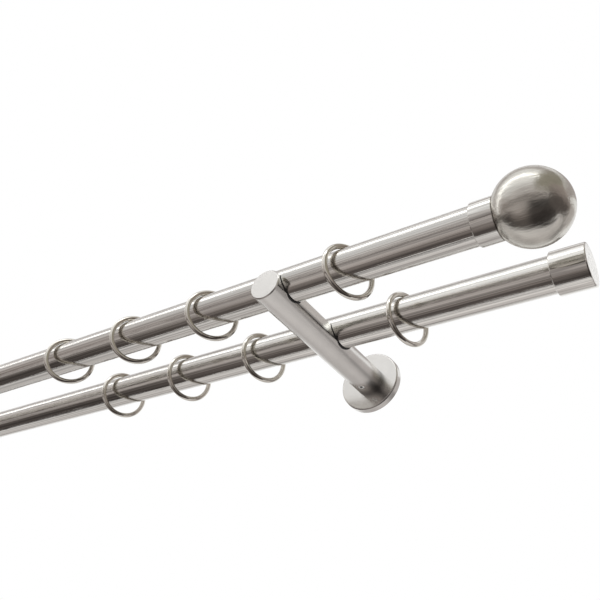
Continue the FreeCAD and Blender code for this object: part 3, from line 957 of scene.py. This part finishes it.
class CURTAIN_OT_rings(bpy.types.Operator):
    """Curtain rings of polished round wire"""

    bl_idname = "curtain.rings"
    bl_label = "Curtain rings"

    def execute(self, context):
        scene = context.scene
        wire = scene.curtain_sizes.ring_wire / 2
        outer = span("front_right_ring_1").z / 2
        section = [
            (wire * math.sin(angle), outer - wire + wire * math.cos(angle))
            for angle in (math.tau * step / AROUND_WIRE for step in range(AROUND_WIRE))
        ]
        ring = turned("ring_pattern", section, steps=AROUND_FINE)
        bpy.ops.object.shade_smooth()
        bright = finish_named("bright", bright_wire, scene.curtain_colours.bright)
        for row in ROWS:
            for side, sign in SIDES.items():
                for number in range(1, RINGS_PER_ROW + 1):
                    node = f"{row}_{side}_ring_{number}"
                    size = span(node)
                    swing = -sign * math.atan2(size.x - 2 * wire, size.y - 2 * wire)
                    turn = Matrix.Rotation(swing, 4, "Z") @ ALONG_X
                    twin = copy_of(ring, f"{node}_wire", Matrix.Translation(middle(node)) @ turn)
                    hand_over(twin, node, bright, body=node)
        bpy.data.objects.remove(ring)
        return {"FINISHED"}


# Studio: places in metres, angles in degrees, 0 being the room side and 90 straight up

# The photograph's viewpoint
VIEW_PLACE = Vector((586.9, -345.2, -226.3)) * MM
VIEW_AIM = Vector((358.3, -59.4, 33.5)) * MM
VIEW_ROLL = 7.7
VIEW_LENS = 43.3

FLOOR_SIZE = 400
WORLD_LIGHT = 0.85

# How far the round card reaches along the poles and round them
CARD_LEFT, CARD_RIGHT = -20.0, 2.0
CARD_START, CARD_END = -168, 150

# Greys of the round card by angle, near the right bracket and far to its left
WALL_GREYS = ((86, 0.50), (103, 0.50), (105, 1.0), (114, 1.0), (118, 0.45), (150, 0.45))
NEAR_GREYS = (
    (-168, 0.66), (-143, 0.58), (-131, 0.60), (-119, 0.66), (-98, 0.72), (-96.5, 0.09),
    (-80, 0.095), (-72, 0.12), (-60, 0.20), (-48, 0.30), (-44, 0.40), (-36, 0.45),
    (-24, 0.47), (-15, 0.44), (-13.5, 0.14), (-9.5, 0.14), (-8, 0.44), (3, 0.60),
    (11, 0.54), (13, 0.60), (22, 0.80), (26, 0.80), (33, 0.98), (84, 1.0), *WALL_GREYS,
)
FAR_GREYS = (
    (-168, 0.66), (-143, 0.58), (-119, 0.66), (-98, 0.72), (-96.5, 0.065), (-60, 0.065),
    (-50, 0.075), (-43, 0.09), (-37, 0.17), (-32, 0.35), (-26, 0.52), (-17, 0.50),
    (-13, 0.20), (-7, 0.20), (2, 0.36), (12, 0.38), (24, 0.46), (33, 0.60),
    (51, 0.66), (84, 0.72), *WALL_GREYS,
)
CORNER_COLOUR = (0.32, 0.30, 0.25, 1)
WHITE = (1, 1, 1, 1)

# The side card's place along the poles, and its reach in depth and height
SIDE_CARD_X = 1.9
SIDE_CARD_FRONT, SIDE_CARD_BACK = -0.9, 3.6
SIDE_CARD_LOW, SIDE_CARD_HIGH = -1.88, 2.40


def finish_card(card, finish, colour):
    """Makes a card glow with a colour, seen in reflections alone."""
    finish.surface(
        Base_Color=(0, 0, 0, 1), Specular_IOR_Level=0.0,
        Emission_Color=colour, Emission_Strength=1.0,
    )
    card.data.materials.append(finish.material)
    card.visible_camera = False
    card.visible_diffuse = False
    card.visible_shadow = False
    card.visible_transmission = False
    card.visible_volume_scatter = False


def warm(level):
    """A grey of the room in front, warmer the darker it is."""
    depth = max(0, min(1.6, 2.1 - 2.6 * level))
    return (level, level * (1 - 0.085 * depth), level * (1 - 0.12 * depth))


def curved_card(name, centre, radius):
    """A sheet curved round the poles."""
    clear_selection()
    bpy.ops.mesh.primitive_grid_add(x_subdivisions=2, y_subdivisions=96, size=1)
    card = bpy.context.object
    card.name = name
    for vertex in card.data.vertices:
        angle = math.radians(CARD_START + (CARD_END - CARD_START) * (vertex.co.y + 0.5))
        vertex.co = Vector((
            CARD_LEFT + (CARD_RIGHT - CARD_LEFT) * (vertex.co.x + 0.5),
            centre.y - radius * math.cos(angle),
            centre.z + radius * math.sin(angle),
        ))
    return card


def card_angle(finish, centre):
    """Where a point of a curved card lies along the poles, and its angle round them in degrees."""
    along, depth, height = (finish.coordinate(axis) for axis in "XYZ")
    angle = finish.node(
        "ShaderNodeMath", {"operation": "ARCTAN2"}, {0: height - centre.z, 1: centre.y - depth}
    )
    return along, angle * math.degrees(1)


def bands(finish, angle, greys):
    """Warm greys at given angles, blended between them."""
    start = greys[0][0]
    share = 1 / (greys[-1][0] - start)
    stops = [((place - start) * share, warm(level)) for place, level in greys]
    return finish.node("ShaderNodeValToRGB", {"stops": stops}, {"Fac": (angle - start) * share})


def strip_lamp(name, centre, distance, angle, width, length, power):
    """A long strip lamp beside the poles, at an angle up from the room side."""
    away = Vector((0, -math.cos(math.radians(angle)), math.sin(math.radians(angle))))
    data = bpy.data.lights.new(name, "AREA")
    data.shape = "RECTANGLE"
    data.size = length
    data.size_y = width
    data.energy = power
    lamp = bpy.data.objects.new(name, data)
    bpy.context.scene.collection.objects.link(lamp)
    lamp.location = centre + away * distance
    lamp.rotation_euler = Matrix((
        (1, 0, 0),
        (0, away.z, away.y),
        (0, -away.y, away.z),
    )).to_euler()
    lamp.visible_camera = False


class CURTAIN_OT_studio(bpy.types.Operator):
    """Floor, white background, strip lamp, cards that the metal reflects, and the camera"""

    bl_idname = "curtain.studio"
    bl_label = "Studio"

    def execute(self, context):
        scene = context.scene
        scene.view_settings.view_transform = "Standard"
        centre = (middle("front_pole") + middle("rear_pole")) / 2
        radius = scene.curtain_studio.card_radius
        self.make_floor(scene)
        self.make_world(scene)
        self.make_round_card(centre, radius)
        self.make_side_card()
        strip_lamp(
            "Strip lamp", centre + Vector((-2.55, 0, 0)), distance=radius * 0.95, angle=58,
            width=0.15, length=6.9, power=scene.curtain_studio.key,
        )
        self.make_camera(scene)
        return {"FINISHED"}

    def make_round_card(self, centre, radius):
        """The room round the poles as bands of grey, with other levels towards the far left."""
        card = curved_card("Round card", centre, radius)
        finish = Finish("Round card")
        along, angle = card_angle(finish, centre)
        underside = 1 - finish.rise(angle, -100, -60)
        shifted = angle + finish.rise(along, 0.35, 1.3) * underside * 20
        near = bands(finish, shifted, NEAR_GREYS)
        far = bands(finish, shifted, FAR_GREYS)
        colour = finish.blend(finish.rise(along, -0.85, 0.0), far, near)

        lines = finish.node(
            "ShaderNodeTexNoise", {"noise_dimensions": "1D"},
            {"W": angle, "Scale": 0.35, "Detail": 2.0, "Roughness": 0.6},
        )
        clouds = finish.noise(finish.place((1.6, 1.6, 1.6)))
        cloudy = 1 - finish.rise(angle, 0, 30)
        colour = finish.dim(colour, 0.85 + lines * 0.3)
        colour = finish.dim(colour, 1 + (clouds - 0.5) * cloudy * 0.9)

        below = finish.rise(shifted, -98, -96) * (1 - finish.rise(angle, -46, -38))
        low = finish.rise(along, 0.26, 0.62) * below
        mid = finish.rise(along, 0.40, 0.75) * finish.window(angle, (-52, -44), (-26, -14))
        back = finish.rise(along, 0.45, 0.7) * (1 - finish.rise(angle, -156, -146))
        colour = finish.dim(colour, (1 - low * 0.7) * (1 - mid * 0.82) * (1 - back * 0.5))

        corner = finish.rise(along, 0.75, 1.05) * finish.window(angle, (0, 20), (105, 118))
        colour = finish.blend(corner, colour, CORNER_COLOUR)
        behind = finish.rise(along, 0.35, 0.5) * finish.rise(angle, 138, 141)
        finish_card(card, finish, finish.blend(behind, colour, WHITE))

    def make_side_card(self):
        """A dim card at the right, which ends where the wall side begins."""
        clear_selection()
        bpy.ops.mesh.primitive_grid_add(x_subdivisions=1, y_subdivisions=8, size=1)
        card = bpy.context.object
        card.name = "Side card"
        for vertex in card.data.vertices:
            vertex.co = Vector((
                SIDE_CARD_X,
                SIDE_CARD_FRONT if vertex.co.x < 0 else SIDE_CARD_BACK,
                SIDE_CARD_LOW + (SIDE_CARD_HIGH - SIDE_CARD_LOW) * (vertex.co.y + 0.5),
            ))
        finish = Finish("Side card")
        depth, height = (finish.coordinate(axis) for axis in "YZ")
        lift = finish.rise(height, -0.1, 0.5)
        dark = finish.shade(warm(0.1), lift, 1.0, 3.4)
        wall = finish.rise(depth - height * 0.3, 0.8, 1.3)
        finish_card(card, finish, finish.blend(wall, dark, (*warm(0.56), 1)))

    def make_floor(self, scene):
        clear_selection()
        below = (0, 0, -scene.curtain_studio.floor_drop)
        bpy.ops.mesh.primitive_plane_add(size=FLOOR_SIZE, location=below)
        floor = bpy.context.object
        floor.name = "floor"
        bpy.ops.object.transform_apply()
        finish = Finish("Pale floor")
        mottle = finish.noise(finish.place((3, 3, 3)))
        finish.surface(
            Base_Color=finish.shade(scene.curtain_studio.floor, mottle, 0.99, 1.01), Roughness=0.9
        )
        floor.data.materials.append(finish.material)

    def make_world(self, scene):
        """White where it is seen, in a reflection too, and a little dimmer as a light."""
        world = bpy.data.worlds.new("Studio")
        scene.world = world
        world.use_nodes = True
        world.node_tree.nodes.clear()
        web = NodeWeb(world.node_tree)
        camera, glossy, clear = (
            web.node("ShaderNodeLightPath", output=f"Is {kind} Ray")
            for kind in ("Camera", "Glossy", "Transmission")
        )
        seen = camera + glossy + clear
        strength = web.node(
            "ShaderNodeMapRange", None, {"Value": seen, "To Min": WORLD_LIGHT, "To Max": 1.0}
        )
        background = web.node(
            "ShaderNodeBackground", None, {"Color": WHITE, "Strength": strength}
        )
        web.node("ShaderNodeOutputWorld", None, {"Surface": background})

    def make_camera(self, scene):
        data = bpy.data.cameras.new("Camera")
        data.lens = VIEW_LENS
        data.sensor_width = 36
        data.clip_start = 0.01
        camera = bpy.data.objects.new("Camera", data)
        scene.collection.objects.link(camera)
        facing = (VIEW_AIM - VIEW_PLACE).to_track_quat("-Z", "Y")
        roll = Euler((0, 0, math.radians(VIEW_ROLL))).to_quaternion()
        camera.location = VIEW_PLACE
        camera.rotation_euler = (facing @ roll).to_euler()
        scene.camera = camera


OPERATORS = (
    CURTAIN_OT_poles,
    CURTAIN_OT_arms,
    CURTAIN_OT_bridges,
    CURTAIN_OT_pads,
    CURTAIN_OT_rosettes,
    CURTAIN_OT_wall_plates,
    CURTAIN_OT_grub_screws,
    CURTAIN_OT_sleeves,
    CURTAIN_OT_balls,
    CURTAIN_OT_caps,
    CURTAIN_OT_rings,
    CURTAIN_OT_studio,
)


class CURTAIN_PT_panel(bpy.types.Panel):
    """Buttons that build the curtain pole, piece by piece"""

    bl_idname = "CURTAIN_PT_panel"
    bl_label = "Double curtain pole"
    bl_space_type = "VIEW_3D"
    bl_region_type = "UI"
    bl_category = "Curtain pole"

    def draw(self, context):
        for group in ("curtain_sizes", "curtain_colours", "curtain_studio"):
            settings = getattr(context.scene, group)
            box = self.layout.box()
            for name in settings.__annotations__:
                box.prop(settings, name)
        for operator in OPERATORS:
            self.layout.operator(operator.bl_idname)


CLASSES = (CurtainSizes, CurtainColours, CurtainStudio, *OPERATORS, CURTAIN_PT_panel)


def register():
    for item in CLASSES:
        bpy.utils.register_class(item)
    bpy.types.Scene.curtain_sizes = bpy.props.PointerProperty(type=CurtainSizes)
    bpy.types.Scene.curtain_colours = bpy.props.PointerProperty(type=CurtainColours)
    bpy.types.Scene.curtain_studio = bpy.props.PointerProperty(type=CurtainStudio)


def unregister():
    del bpy.types.Scene.curtain_studio
    del bpy.types.Scene.curtain_colours
    del bpy.types.Scene.curtain_sizes
    for item in reversed(CLASSES):
        bpy.utils.unregister_class(item)


def main():
    register()
    for operator in OPERATORS:
        group, action = operator.bl_idname.split(".")
        getattr(getattr(bpy.ops, group), action)()
    clear_selection()


if __name__ == "__main__":
    main()
